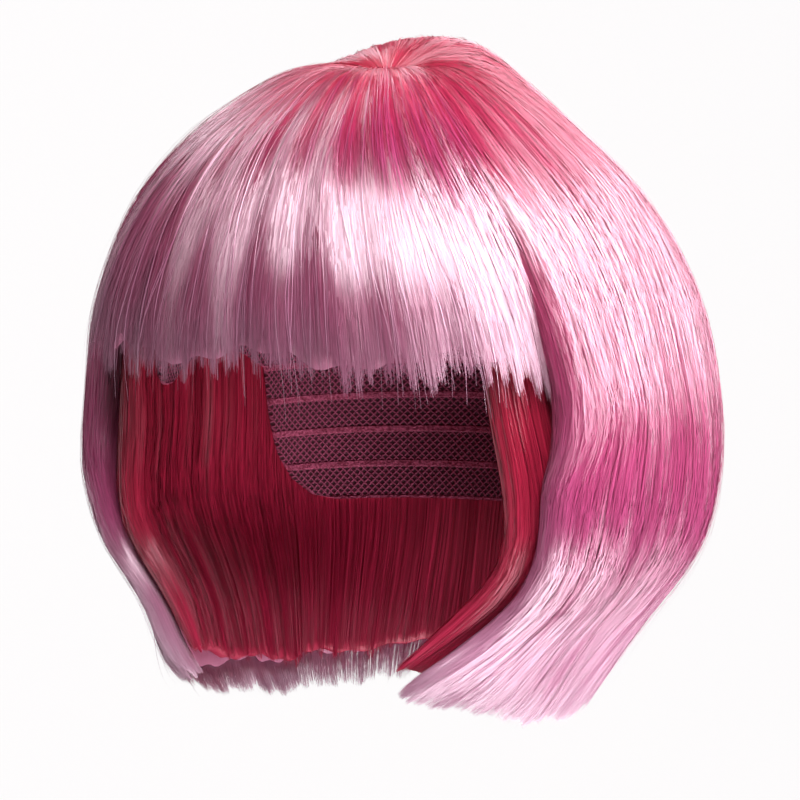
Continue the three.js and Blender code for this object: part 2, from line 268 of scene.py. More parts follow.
# angle, front, side, back, corner, under
crown_rows = [
    (0, 0.3, 0.2, 0.24, 0, 0),
    (6, 0.5, 0.34, 0.46, 0, 0),
    (12, 0.72, 0.46, 0.86, 0, 0),
    (20, 0.85, 0.56, 1.08, 0, 0),
    (30, 0.88, 0.58, 0.86, 0, 0),
    (42, 1, 0.63, 0.66, 0.02, 0),
    (54, 1.05, 0.77, 0.72, 0.06, 0.12),
    (66, 1, 0.86, 0.8, 0.12, 0.3),
    (78, 0.86, 0.93, 0.9, 0.2, 0.38),
    (90, 0.68, 0.98, 0.98, 0.29, 0.42),
]
# drop, width, front, back, face, front hair, side hair, back hair, corner, under
fall_rows = [
    (0.17, 1.03, 0.93, 0.98, 53, 1.1, 0.94, 1.09, 0.24, 0.45),
    (0.31, 1.06, 0.93, 0.92, 54, 1.1, 0.77, 1.26, 0.26, 0.46),
    (0.43, 1.05, 0.94, 0.87, 54, 1.1, 0.62, 1.35, 0.23, 0.47),
    (0.54, 0.97, 0.94, 0.84, 52, 1, 0.54, 1.15, 0.2, 0.47),
    (0.64, 0.87, 0.94, 0.82, 47, 0.95, 0.5, 0.92, 0.18, 0.45),
    (0.75, 0.78, 0.93, 0.8, 40, 0.9, 0.46, 0.7, 0.22, 0.4),
    (0.85, 0.72, 0.93, 0.77, 33, 0.8, 0.4, 0.5, 0.26, 0.34),
    (0.93, 0.67, 0.93, 0.75, 27, 0.7, 0.34, 0.38, 0.26, 0.25),
    (1, 0.63, 0.92, 0.73, 24, 0.5, 0.26, 0.3, 0.22, 0.2),
]


def mix(a, b, share):
    return a + (b - a) * share


def smooth(x, low, high):
    share = np.clip((x - low) / (high - low), 0, 1)
    return share * share * (3 - 2 * share)


rings = []
for angle, front, side, back, corner, under in crown_rows:
    turn = math.radians(angle)
    full = math.sin(turn) ** 4
    rings.append((
        -whorl_forward * math.cos(turn), cap_wall - crown_height * (1 - math.cos(turn)),
        head_width / 2 * math.sin(turn), head_front * math.sin(turn), head_back * math.sin(turn),
        mix(crown_square[0], fall_square[0], full), mix(crown_square[1], fall_square[1], full),
        front_depth * front, side_depth * side, back_depth * back, side_depth * corner, under, fringe_edge, 0,
    ))
for drop, width, front, back, face, front_hair, side_hair, back_hair, corner, under in fall_rows:
    rings.append((
        0, cap_wall - crown_height - hair_fall * drop,
        head_width / 2 * width, head_front * front, head_back * back, fall_square[0], fall_square[1],
        front_depth * front_hair, side_depth * side_hair, back_depth * back_hair, side_depth * corner, under,
        math.radians(face), tip_rise * drop,
    ))
rings = np.array(rings)
last_ring = len(rings) - 1
girth_ring = len(crown_rows) - 1
whorl_ring, under_ring = 1, 6


def ring_at(place):
    """The rings' columns at any place, on one smooth curve through them."""
    place = np.clip(np.asarray(place, dtype=float), 0, last_ring)
    low = np.clip(np.floor(place).astype(int), 0, last_ring - 1)
    t = (place - low)[..., None]
    a, b, c, d = (rings[np.clip(low + k, 0, last_ring)] for k in (-1, 0, 1, 2))
    curve = b + 0.5 * t * (c - a + t * (2 * a - 5 * b + 4 * c - d + t * (3 * (b - c) + d - a)))
    return np.moveaxis(curve, -1, 0)


def lean(round_, face):
    """Turns the bearing of a column so that the face opening's edge lies at the ring's own bearing."""
    away = np.abs(round_)
    leaned = np.sign(round_) * (math.pi - (math.pi - away) * (math.pi - face) / (math.pi - fringe_edge))
    return np.where(away < fringe_edge, round_ * face / fringe_edge, leaned)


def form_point(place, round_):
    """A point of the form, in millimetres, from its place down the rings and its bearing."""
    middle, height, width, front, back, front_sq, back_sq, _, _, _, _, _, face, rise = ring_at(place)
    angle = lean(round_, face)
    ahead = np.cos(angle) > 0
    across = np.abs(np.sin(angle)) / np.maximum(width, 1e-3)
    forward = np.abs(np.cos(angle)) / np.maximum(np.where(ahead, front, back), 1e-3)
    square = np.where(ahead, front_sq, back_sq)
    reach = (across ** square + forward ** square) ** (-1 / square)
    beside = ((1 + np.cos(angle)) / 2) ** 3
    return np.stack([reach * np.sin(angle), middle - reach * np.cos(angle), height + rise * beside], -1)


def form_normal(place, round_):
    """The way out from the form."""
    low = np.clip(place, 0.3, last_ring - 0.05)
    down = form_point(low + 0.05, round_) - form_point(low - 0.05, round_)
    along = form_point(low, round_ + 0.05) - form_point(low, round_ - 0.05)
    normal = np.cross(down, along)
    return normal / np.linalg.norm(normal, axis=-1, keepdims=True)


def hair_depth(place, round_):
    """How deep the hair lies on the form, fullest at the corners of the brow."""
    fullest = 0.3849
    _, _, _, _, _, _, _, front, side, back, corner, _, face, _ = ring_at(place)
    angle = lean(round_, face)
    bulge = np.maximum(np.cos(angle), 0) * np.sin(angle) ** 2
    return mix(np.where(np.cos(angle) > 0, front, back), side, np.sin(angle) ** 2) + corner * bulge / fullest


def under_top(place, round_):
    """How high the under layer stands on the form."""
    share = ring_at(place)[11]
    return np.where(np.abs(round_) > fringe_edge - column_angle, share * hair_depth(place, round_), 0)


def above(place, round_, height):
    """A point over the form in metres, by its height over it in millimetres."""
    return 0.001 * (form_point(place, round_) + form_normal(place, round_) * np.asarray(height)[..., None])


def tip_cut(column):
    lock = column / lock_columns
    return 3.0 * (0.5 + 0.5 * np.sin(1.9 * lock + 1)) + 1.5 * (0.5 + 0.5 * np.cos(2 * math.pi * lock))


def front_turn(place, round_, low, top, sign):
    """Points and normals round the free front edge of a layer, from its inside to its outside."""
    nudge = 0.004
    base = above(place, round_, 0.5 * (low + top))
    ahead = base - above(place, round_ + sign * nudge, 0.5 * (low + top))
    ahead /= np.linalg.norm(ahead, axis=-1, keepdims=True)
    normal = form_normal(place, round_ + sign * nudge)
    radius = 0.0005 * (top - low)[:, None]
    free = 0.15 + 0.85 * smooth(place, 4.5, 8)[:, None]
    points, normals = [], []
    for step in range(edge_steps):
        turn = math.pi * ((step + 0.5) / edge_steps - 0.5)
        points.append(base + normal * radius * math.sin(turn) + ahead * radius * free * math.cos(turn))
        normals.append(normal * math.sin(turn) + ahead * math.cos(turn))
    return np.stack(points, 1), np.stack(normals, 1)


def vector_node(tree, operation, *values):
    node = tree.nodes.new("ShaderNodeVectorMath")
    node.operation = operation
    for socket, value in zip(node.inputs, values):
        if isinstance(value, bpy.types.NodeSocket):
            link(tree, value, socket)
        else:
            socket.default_value = value
    return node.outputs[0]


def scaled(tree, vector, factor):
    node = tree.nodes.new("ShaderNodeVectorMath")
    node.operation = "SCALE"
    link(tree, vector, node.inputs[0])
    if isinstance(factor, bpy.types.NodeSocket):
        link(tree, factor, node.inputs["Scale"])
    else:
        node.inputs["Scale"].default_value = factor
    return node.outputs[0]


strand_counts = {"Strands": 1000, "Rows": 12, "Seed": 1}
strand_sizes = {
    "Width": 0.0004, "Low": -0.0022, "High": 0.0003, "Root Spread": 0.2, "Tip Spread": 0.05, "Clumps": 60,
    "Clump Pull": 0.5, "Wander": 0.01, "Slant": 0.0, "Stray": 0.0, "Roll": 0.9, "Ragged": 0.03,
    "Ripple": 0.0006, "Facing": 1.0,
}


def strand_tree():
    tree = bpy.data.node_groups.new("strands_over_sheet", "GeometryNodeTree")
    tree.interface.new_socket("Geometry", in_out="INPUT", socket_type="NodeSocketGeometry")
    for kind, inputs in (("NodeSocketInt", strand_counts), ("NodeSocketFloat", strand_sizes)):
        for name, value in inputs.items():
            tree.interface.new_socket(name, in_out="INPUT", socket_type=kind).default_value = value
    tree.interface.new_socket("Material", in_out="INPUT", socket_type="NodeSocketMaterial")
    tree.interface.new_socket("Geometry", in_out="OUTPUT", socket_type="NodeSocketGeometry")
    given = tree.nodes.new("NodeGroupInput").outputs
    result = tree.nodes.new("NodeGroupOutput")

    # One flat ribbon of two columns, put on every strand's point
    ribbon = tree.nodes.new("GeometryNodeMeshGrid")
    ribbon.inputs["Vertices X"].default_value = 2
    link(tree, given["Rows"], ribbon.inputs["Vertices Y"])
    points = tree.nodes.new("GeometryNodePoints")
    link(tree, given["Strands"], points.inputs["Count"])
    placed = tree.nodes.new("GeometryNodeInstanceOnPoints")
    link(tree, points.outputs[0], placed.inputs["Points"])
    link(tree, ribbon.outputs["Mesh"], placed.inputs["Instance"])
    real = tree.nodes.new("GeometryNodeRealizeInstances")
    link(tree, placed.outputs[0], real.inputs["Geometry"])

    # Which strand, which side of it and how far along it each vertex is
    index = tree.nodes.new("GeometryNodeInputIndex").outputs[0]
    per_strand = math_node(tree, "MULTIPLY", given["Rows"], 2)
    half = math_node(tree, "ADD", index, 0.5)
    strand = math_node(tree, "FLOOR", math_node(tree, "DIVIDE", half, per_strand))
    local = math_node(tree, "SUBTRACT", index, math_node(tree, "MULTIPLY", strand, per_strand))
    middle_local = math_node(tree, "ADD", local, 0.5)
    side = math_node(tree, "FLOOR", math_node(tree, "DIVIDE", middle_local, given["Rows"]))
    row = math_node(tree, "SUBTRACT", local, math_node(tree, "MULTIPLY", side, given["Rows"]))
    along = math_node(tree, "DIVIDE", row, math_node(tree, "SUBTRACT", given["Rows"], 1))

    def chance(salt, what=strand):
        node = tree.nodes.new("FunctionNodeRandomValue")
        node.data_type = "FLOAT"
        link(tree, what, node.inputs["ID"])
        link(tree, math_node(tree, "ADD", given["Seed"], salt), node.inputs["Seed"])
        return node.outputs[1]

    def ease(value, low, high):
        node = tree.nodes.new("ShaderNodeMapRange")
        node.interpolation_type = "SMOOTHSTEP"
        link(tree, value, node.inputs["Value"])
        node.inputs["From Min"].default_value = low
        node.inputs["From Max"].default_value = high
        return node.outputs[0]

    # Place across the sheet, and the clump that the strand belongs to
    u0 = math_node(tree, "DIVIDE", math_node(tree, "ADD", strand, chance(13)), given["Strands"])
    clump = math_node(tree, "FLOOR", math_node(tree, "MULTIPLY", u0, given["Clumps"]))
    inside = math_node(tree, "ADD", math_node(tree, "MULTIPLY", chance(14, clump), 0.7), 0.15)
    middle = math_node(tree, "DIVIDE", math_node(tree, "ADD", clump, inside), given["Clumps"])

    # Root and tip along the sheet
    start = math_node(tree, "MULTIPLY", given["Root Spread"], math_node(tree, "POWER", chance(11), 2.0))
    cut = math_node(tree, "MULTIPLY", given["Tip Spread"], math_node(tree, "POWER", chance(12), 2.0))
    shared_cut = math_node(tree, "MULTIPLY", given["Ragged"], chance(22, clump))
    off_middle = math_node(tree, "SUBTRACT", u0, middle)
    from_middle = math_node(tree, "ABSOLUTE", math_node(tree, "MULTIPLY", given["Clumps"], off_middle))
    wisp = math_node(tree, "MULTIPLY", given["Ragged"], from_middle)
    cut = math_node(tree, "ADD", cut, math_node(tree, "ADD", shared_cut, wisp))
    end = math_node(tree, "SUBTRACT", 1.0, cut)
    length = math_node(tree, "SUBTRACT", end, start)
    v = math_node(tree, "ADD", start, math_node(tree, "MULTIPLY", length, along))

    # Drawn towards the clump's middle near the tip, and wandering a little
    pull = math_node(tree, "MULTIPLY", given["Clump Pull"], chance(15, clump))
    pull = math_node(tree, "MULTIPLY", pull, math_node(tree, "MULTIPLY", v, v))
    to_middle = math_node(tree, "SUBTRACT", middle, u0)
    u1 = math_node(tree, "ADD", u0, math_node(tree, "MULTIPLY", pull, to_middle))
    spot = tree.nodes.new("ShaderNodeCombineXYZ")
    link(tree, math_node(tree, "MULTIPLY", u0, 24.0), spot.inputs["X"])
    link(tree, math_node(tree, "MULTIPLY", v, 2.2), spot.inputs["Y"])
    link(tree, math_node(tree, "MULTIPLY", chance(16), 0.6), spot.inputs["Z"])
    noise = tree.nodes.new("ShaderNodeTexNoise")
    noise.inputs["Scale"].default_value = 1.0
    noise.inputs["Detail"].default_value = 1.0
    link(tree, spot.outputs[0], noise.inputs["Vector"])
    sway = math_node(tree, "MULTIPLY", math_node(tree, "SUBTRACT", noise.outputs[0], 0.5), given["Wander"])
    own = math_node(tree, "MULTIPLY", math_node(tree, "SUBTRACT", chance(17), 0.5), given["Wander"])
    slant = math_node(tree, "MULTIPLY", given["Slant"], math_node(tree, "MULTIPLY", v, v))
    u = math_node(tree, "ADD", u1, sway)
    u = math_node(tree, "ADD", u, math_node(tree, "MULTIPLY", own, along))
    u = math_node(tree, "ADD", u, slant)
    u = math_node(tree, "MINIMUM", math_node(tree, "MAXIMUM", u, 0.001), 0.999)
    flat = tree.nodes.new("ShaderNodeCombineXYZ")
    link(tree, u, flat.inputs["X"])
    link(tree, math_node(tree, "MINIMUM", v, 0.999), flat.inputs["Y"])

    def named(name, kind="FLOAT_VECTOR"):
        node = tree.nodes.new("GeometryNodeInputNamedAttribute")
        node.data_type = kind
        node.inputs["Name"].default_value = name
        return node.outputs[0]

    def sampled(field):
        node = tree.nodes.new("GeometryNodeSampleUVSurface")
        node.data_type = "FLOAT_VECTOR"
        link(tree, given["Geometry"], node.inputs["Mesh"])
        link(tree, field, node.inputs["Value"])
        link(tree, named("UVMap"), node.inputs["Source UV Map"])
        link(tree, flat.outputs[0], node.inputs["Sample UV"])
        return node.outputs[0]

    on_sheet = sampled(tree.nodes.new("GeometryNodeInputPosition").outputs[0])
    outward = sampled(named("outward"))
    across = sampled(named("across"))

    # Height over the sheet: sunk at the root, at its own level along the length, a few strands standing off
    band = math_node(tree, "SUBTRACT", given["High"], given["Low"])
    level = math_node(tree, "ADD", given["Low"], math_node(tree, "MULTIPLY", band, chance(18)))
    rise = ease(along, 0.0, 0.14)
    lifted = math_node(tree, "SUBTRACT", level, given["Low"])
    level = math_node(tree, "ADD", math_node(tree, "MULTIPLY", lifted, rise), given["Low"])
    bend = tree.nodes.new("ShaderNodeCombineXYZ")
    link(tree, math_node(tree, "MULTIPLY", chance(23), 90.0), bend.inputs["X"])
    link(tree, math_node(tree, "MULTIPLY", v, 7.0), bend.inputs["Y"])
    ripple = tree.nodes.new("ShaderNodeTexNoise")
    ripple.inputs["Scale"].default_value = 1.0
    ripple.inputs["Detail"].default_value = 0.0
    link(tree, bend.outputs[0], ripple.inputs["Vector"])
    wave = math_node(tree, "MULTIPLY", math_node(tree, "SUBTRACT", ripple.outputs[0], 0.5), given["Ripple"])
    level = math_node(tree, "ADD", level, wave)
    stray = math_node(tree, "MULTIPLY", given["Stray"], math_node(tree, "POWER", chance(19), 9.0))
    spring = math_node(tree, "MULTIPLY", stray, math_node(tree, "MULTIPLY", along, along))
    level = math_node(tree, "ADD", level, spring)

    # Width, thinner to the tip, turned about the strand by its own roll
    taper = math_node(tree, "SUBTRACT", 1.0, math_node(tree, "MULTIPLY", ease(along, 0.8, 1.0), 0.8))
    own_width = math_node(tree, "ADD", 0.65, math_node(tree, "MULTIPLY", chance(20), 0.7))
    offset = math_node(tree, "MULTIPLY", math_node(tree, "SUBTRACT", side, 0.5), given["Width"])
    offset = math_node(tree, "MULTIPLY", offset, given["Facing"])
    offset = math_node(tree, "MULTIPLY", offset, math_node(tree, "MULTIPLY", taper, own_width))
    roll = math_node(tree, "MULTIPLY", math_node(tree, "SUBTRACT", chance(21), 0.5), given["Roll"])
    level_part = scaled(tree, across, math_node(tree, "COSINE", roll))
    raised_part = scaled(tree, outward, math_node(tree, "SINE", roll))
    sideways = vector_node(tree, "ADD", level_part, raised_part)
    where = vector_node(tree, "ADD", on_sheet, scaled(tree, outward, level))
    where = vector_node(tree, "ADD", where, scaled(tree, sideways, offset))
    moved = tree.nodes.new("GeometryNodeSetPosition")
    link(tree, real.outputs[0], moved.inputs["Geometry"])
    link(tree, where, moved.inputs["Position"])

    # The strand's own UV: which strand, and how far down the piece
    strand_uv = tree.nodes.new("ShaderNodeCombineXYZ")
    shift = math_node(tree, "ADD", math_node(tree, "MULTIPLY", side, 0.8), 0.1)
    shifted = math_node(tree, "ADD", strand, shift)
    link(tree, math_node(tree, "DIVIDE", shifted, given["Strands"]), strand_uv.inputs["X"])
    link(tree, v, strand_uv.inputs["Y"])
    kept = tree.nodes.new("GeometryNodeCaptureAttribute")
    kept.domain = "POINT"
    kept.capture_items.new("VECTOR", "uv")
    link(tree, real.outputs[0], kept.inputs["Geometry"])
    link(tree, strand_uv.outputs[0], kept.inputs[1])
    link(tree, kept.outputs["Geometry"], moved.inputs["Geometry"])
    stored = tree.nodes.new("GeometryNodeStoreNamedAttribute")
    stored.data_type = "FLOAT2"
    stored.domain = "CORNER"
    stored.inputs["Name"].default_value = "UVMap"
    link(tree, moved.outputs[0], stored.inputs["Geometry"])
    link(tree, kept.outputs[1], stored.inputs["Value"])
    shaded = tree.nodes.new("GeometryNodeSetShadeSmooth")
    link(tree, stored.outputs[0], shaded.inputs["Geometry"])
    painted = tree.nodes.new("GeometryNodeSetMaterial")
    link(tree, shaded.outputs[0], painted.inputs["Geometry"])
    link(tree, given["Material"], painted.inputs["Material"])
    link(tree, painted.outputs[0], result.inputs[0])
    return tree


strand_nodes = strand_tree()


def flow_sheet(name, points, outward):
    """A grid that strands follow: rows from root to tip, columns across. It is a guide and is removed."""
    rows, columns = points.shape[:2]
    outward = outward / np.linalg.norm(outward, axis=-1, keepdims=True)
    across = np.gradient(points, axis=1)
    across /= np.linalg.norm(across, axis=-1, keepdims=True)
    facing = float(np.sign(np.mean(np.sum(np.cross(across, np.gradient(points, axis=0)) * outward, -1))))
    uv = np.stack(np.meshgrid(np.linspace(0, 1, columns), np.linspace(0, 1, rows)), -1).reshape(-1, 2)
    at = np.arange(rows * columns).reshape(rows, columns)
    faces = np.stack([at[:-1, :-1], at[1:, :-1], at[1:, 1:], at[:-1, 1:]], -1).reshape(-1, 4).tolist()
    sheet = new_object(name, points.reshape(-1, 3), faces, uv)
    for label, values in (("outward", outward), ("across", across)):
        layer = sheet.data.attributes.new(label, "FLOAT_VECTOR", "POINT")
        layer.data.foreach_set("vector", np.ascontiguousarray(values, dtype=np.float32).ravel())
    return sheet, facing


def lay_strands(name, sheet, material, node, slot, **settings):
    """Strands over a flow sheet, as one plain mesh that belongs to a node."""
    modifier = sheet.modifiers.new("strands", "NODES")
    modifier.node_group = strand_nodes
    for item in strand_nodes.interface.items_tree:
        if item.in_out == "INPUT" and item.name in settings:
            modifier[item.identifier] = settings[item.name]
        if item.in_out == "INPUT" and item.name == "Material":
            modifier[item.identifier] = material
    ready = sheet.evaluated_get(bpy.context.evaluated_depsgraph_get())
    mesh = bpy.data.meshes.new_from_object(ready)
    strands = bpy.data.objects.new(name, mesh)
    bpy.context.scene.collection.objects.link(strands)
    sheet.modifiers.clear()
    bpy.data.objects.remove(sheet)
    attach(strands, "root")
    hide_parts(node)


def tone_group():
    """From a strand's UV: a tone of its own, and streaks that run along the hair."""
    group = bpy.data.node_groups.new("strand_tone", "ShaderNodeTree")
    group.interface.new_socket("Strands", in_out="INPUT", socket_type="NodeSocketFloat")
    group.interface.new_socket("Along", in_out="INPUT", socket_type="NodeSocketFloat")
    group.interface.new_socket("Tone", in_out="OUTPUT", socket_type="NodeSocketFloat")
    group.interface.new_socket("Down", in_out="OUTPUT", socket_type="NodeSocketFloat")
    given = group.nodes.new("NodeGroupInput").outputs
    result = group.nodes.new("NodeGroupOutput")
    uv = group.nodes.new("ShaderNodeUVMap")
    uv.uv_map = "UVMap"
    parts = group.nodes.new("ShaderNodeSeparateXYZ")
    link(group, uv.outputs[0], parts.inputs[0])
    strand = math_node(group, "FLOOR", math_node(group, "MULTIPLY", parts.outputs[0], given["Strands"]))
    noise = group.nodes.new("ShaderNodeTexWhiteNoise")
    noise.noise_dimensions = "1D"
    link(group, strand, noise.inputs["W"])
    spot = group.nodes.new("ShaderNodeCombineXYZ")
    link(group, math_node(group, "MULTIPLY", parts.outputs[0], 30.0), spot.inputs["X"])
    link(group, math_node(group, "MULTIPLY", parts.outputs[1], given["Along"]), spot.inputs["Y"])
    streak = group.nodes.new("ShaderNodeTexNoise")
    streak.inputs["Scale"].default_value = 1.0
    streak.inputs["Detail"].default_value = 2.0
    link(group, spot.outputs[0], streak.inputs["Vector"])
    own = math_node(group, "MULTIPLY", noise.outputs["Value"], 0.55)
    shared = math_node(group, "MULTIPLY", streak.outputs[0], 0.45)
    link(group, math_node(group, "ADD", own, shared), result.inputs["Tone"])
    link(group, parts.outputs[1], result.inputs["Down"])
    return group


strand_tone = tone_group()


def hair_material(name, strands, light_stops, deep_stops, ior=2.25):
    """Glossy filament. The highlight is long across the strands and short along them."""
    material, tree, shader = new_material(name)
    tone = tree.nodes.new("ShaderNodeGroup")
    tone.node_tree = strand_tone
    tone.inputs["Strands"].default_value = strands
    tone.inputs["Along"].default_value = 3.0
    light = ramp(tree, tone.outputs["Down"], light_stops)
    deep = ramp(tree, tone.outputs["Down"], deep_stops)
    link(tree, mixed(tree, tone.outputs["Tone"], deep, light), shader.inputs["Base Color"])
    shader.inputs["Roughness"].default_value = 0.42
    shader.inputs["IOR"].default_value = ior
    shader.inputs["Specular IOR Level"].default_value = 1.0
    shader.inputs["Specular Tint"].default_value = (1.0, 0.84, 0.93, 1)
    shader.inputs["Anisotropic"].default_value = 0.95
    tangent = tree.nodes.new("ShaderNodeTangent")
    tangent.direction_type = "UV_MAP"
    tangent.uv_map = "UVMap"
    link(tree, tangent.outputs[0], shader.inputs["Tangent"])
    return material


def base_material(name, light_stops, deep_stops):
    """The body of hair under the loose strands: the same fibre, seen as fine close lines."""
    material, tree, shader = new_material(name)
    uv = tree.nodes.new("ShaderNodeUVMap")
    uv.uv_map = "UVMap"
    stretch = tree.nodes.new("ShaderNodeMapping")
    stretch.inputs["Scale"].default_value = (420, 5, 1)
    link(tree, uv.outputs[0], stretch.inputs["Vector"])
    noise = tree.nodes.new("ShaderNodeTexNoise")
    noise.inputs["Scale"].default_value = 1.0
    noise.inputs["Detail"].default_value = 3.0
    link(tree, stretch.outputs[0], noise.inputs["Vector"])
    parts = tree.nodes.new("ShaderNodeSeparateXYZ")
    link(tree, uv.outputs[0], parts.inputs[0])
    light = ramp(tree, parts.outputs[1], light_stops)
    deep = ramp(tree, parts.outputs[1], deep_stops)
    link(tree, mixed(tree, noise.outputs[0], deep, light), shader.inputs["Base Color"])
    bump = tree.nodes.new("ShaderNodeBump")
    bump.inputs["Strength"].default_value = 0.5
    bump.inputs["Distance"].default_value = 0.0004
    link(tree, noise.outputs[0], bump.inputs["Height"])
    link(tree, bump.outputs[0], shader.inputs["Normal"])
    shader.inputs["Roughness"].default_value = 0.45
    return material


def hair_body(name, points_top, points_bottom, material, node):
    """A closed body of hair between two grids of points, rows from root to tip."""
    rows, columns = points_top.shape[:2]
    count = rows * columns
    at = np.arange(count).reshape(rows, columns)
    top, low = at, at + count
    faces = []
    for r in range(rows - 1):
        for c in range(columns - 1):
            faces.append((top[r, c], top[r + 1, c], top[r + 1, c + 1], top[r, c + 1]))
            faces.append((low[r, c], low[r, c + 1], low[r + 1, c + 1], low[r + 1, c]))
        faces.append((low[r, 0], low[r + 1, 0], top[r + 1, 0], top[r, 0]))
        faces.append((top[r, -1], top[r + 1, -1], low[r + 1, -1], low[r, -1]))
    for c in range(columns - 1):
        faces.append((top[-1, c], low[-1, c], low[-1, c + 1], top[-1, c + 1]))
        faces.append((low[0, c], top[0, c], top[0, c + 1], low[0, c + 1]))
    faces = [tuple(int(i) for i in f) for f in faces]
    uv = np.stack(np.meshgrid(np.linspace(0, 1, columns), np.linspace(0, 1, rows)), -1).reshape(-1, 2)
    body = new_object(name, np.concatenate([points_top.reshape(-1, 3), points_bottom.reshape(-1, 3)]), faces,
                      np.concatenate([uv, uv]))
    body.data.materials.append(material)
    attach(body, "root")
    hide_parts(node)


# Painted shade: the under layer's strands and bodies and the whorl's body are deep crimson for the shade they
# lie in.
shade_crimson_pale = [(0.0, (0.5, 0.01, 0.045)), (1.0, (0.66, 0.035, 0.11))]
shade_crimson_dark = [(0.0, (0.15, 0.002, 0.01)), (1.0, (0.3, 0.006, 0.03))]
body_shade_crimson = base_material("hair_body_painted_shade", shade_crimson_pale, shade_crimson_dark)


def inner_piece(node, first, last, strands, rows, seed):
    """One piece of the under layer: its body, and strands on its inner face and round its front edge."""
    end = last_ring - 1
    columns = np.linspace(first, last, 2 * (last - first) + 1)
    length = np.linspace(0, 1, int(2.5 * (end - under_ring)) + 1)[:, None]
    short = under_ring + (end - 0.4 - tip_cut(columns)[None, :] / ring_pitch - under_ring) * length
    round_ = np.broadcast_to(columns, short.shape) * column_angle
    top = seat_gap + under_top(short, round_)
    body_top = np.maximum(top - 0.8, seat_gap + 0.8)
    body_low = np.full_like(top, seat_gap + 0.3)
    hair_body(node + "_body", above(short, round_, body_top), above(short, round_, body_low),
              body_shade_crimson, node)
    place = under_ring + (end - tip_cut(columns)[None, :] / ring_pitch - under_ring) * length
    top = seat_gap + under_top(place, round_)
    low = np.full_like(top, seat_gap)
    parts = [above(place, round_, low + 0.2)]
    normals = [-form_normal(place, round_)]
    for sign, edge in ((1, 0), (-1, -1)):
        if abs(columns[edge]) != fringe_column:
            continue
        edge_place, edge_round = place[:, edge], round_[:, edge]
        turned, turned_normals = front_turn(edge_place, edge_round, low[:, edge], top[:, edge], sign)
        behind = [edge_round + sign * k * column_angle for k in (1, 2, 3)]
        outer = np.stack([above(edge_place, r, top[:, edge]) for r in behind], 1)
        outer_normals = np.stack([form_normal(edge_place, r) for r in behind], 1)
        turned = np.concatenate([turned, outer], 1)
        turned_normals = np.concatenate([turned_normals, outer_normals], 1)
        if edge == 0:
            parts.insert(0, turned[:, ::-1])
            normals.insert(0, turned_normals[:, ::-1])
        else:
            parts.append(turned)
            normals.append(turned_normals)
    sheet, facing = flow_sheet(node + "_flow", np.concatenate(parts, 1), np.concatenate(normals, 1))
    material = hair_material(node + "_fibre", strands, shade_crimson_pale, shade_crimson_dark, ior=1.5)
    lay_strands(node + "_strands", sheet, material, node, "hair_deep", Strands=strands, Rows=rows, Seed=seed,
                Facing=facing, Width=0.0005, Low=-0.0008, High=0.0004, Clumps=40.0)


inner_piece("under_left", fringe_column, side_column, 1800, 12, 301)
inner_piece("under_right", -side_column, -fringe_column, 1800, 12, 302)
inner_piece("under_back", side_column, back_column, 2400, 12, 303)

# Crown whorl. The coil of weft that closes the crown, with the roots of the first hairs spreading from it. It
# is wound flat and sewn to the cap, and the outer layer starts under its rim.
whorl_rows = np.array([0.02, 0.35, 0.7, 1.0, 1.25])
whorl_columns, whorl_strands = 97, 1200
whorl_turn = np.linspace(0, 2 * math.pi, whorl_columns)
whorl_place, whorl_round = np.meshgrid(whorl_rows, whorl_turn, indexing="ij")
whorl_height = 5.2 + 1.6 * whorl_place + 0.8 * smooth(whorl_place, 0.9, 1.25)
whorl_points = above(whorl_place, whorl_round, whorl_height)
whorl_normal = form_normal(whorl_place, whorl_round)
whorl_floor = above(whorl_place[:4], whorl_round[:4], np.full((4, whorl_columns), 0.5))
hair_body("crown_whorl_body", whorl_points[:4], whorl_floor, body_shade_crimson, "crown_whorl")
whorl_sheet, whorl_facing = flow_sheet("crown_whorl_flow", whorl_points, whorl_normal)
# Painted shade: the whorl's roots are hot magenta and crimson, the saturated colour the fibre takes in shade.
whorl_shade_pale = [(0.0, (0.75, 0.03, 0.25)), (1.0, (0.80, 0.08, 0.24))]
whorl_shade_dark = [(0.0, (0.45, 0.0, 0.1)), (1.0, (0.45, 0.01, 0.06))]
whorl_fibre = hair_material("crown_whorl_fibre", whorl_strands, whorl_shade_pale, whorl_shade_dark)
lay_strands("crown_whorl_strands", whorl_sheet, whorl_fibre, "crown_whorl", "hair_deep",
            Strands=whorl_strands, Rows=6, Seed=310, Width=0.0004, Low=-0.0006, High=0.0005, Slant=0.12,
            Facing=whorl_facing)

# Outer layer. Long straight fibre from the whorl down to the tips, back first, then the sides, which lie over
# it and curl in under the jaw. Its deep crimson at the root is painted shade, it grows paler along the length
# and at the tips partly by its own tone and partly by painted light from below, and it falls in locks.
layer_gap, lock_relief, lock_share, tip_depth = 0.6, 2.2, 0.6, 3.0
fringe_drop, fringe_end_share, fringe_fan = 96, 0.25, 0.27
strand_start, overlap, drawn_columns = 0.2, 1.2, 2.6
outer_rows, outer_ragged = 17, 0.02


def place_of_drop(drop):
    """The place down the rings at a drop from the top, in millimetres."""
    heights = rings[:, 1]
    low = int(np.argmax(heights <= -drop)) - 1
    return low + (heights[low] + drop) / (heights[low] - heights[low + 1])


fringe_end = place_of_drop(fringe_drop)


def free_of_fringe(place):
    return smooth(place, fringe_end - 1, fringe_end + 0.5)


def drawn_back(place, column):
    """The bearing of a column of the side hair, drawn back beside the fringe's ends and more below them."""
    share = (side_column - np.abs(column)) / (side_column - fringe_column)
    beside = smooth(place, 5, 7.5) * (1 - smooth(place, 8.6, 11))
    back = share * free_of_fringe(place) + drawn_columns * share * share * beside
    back = np.where((share > 0) & (share <= 1), back, 0)
    return (column + np.sign(column) * back) * column_angle


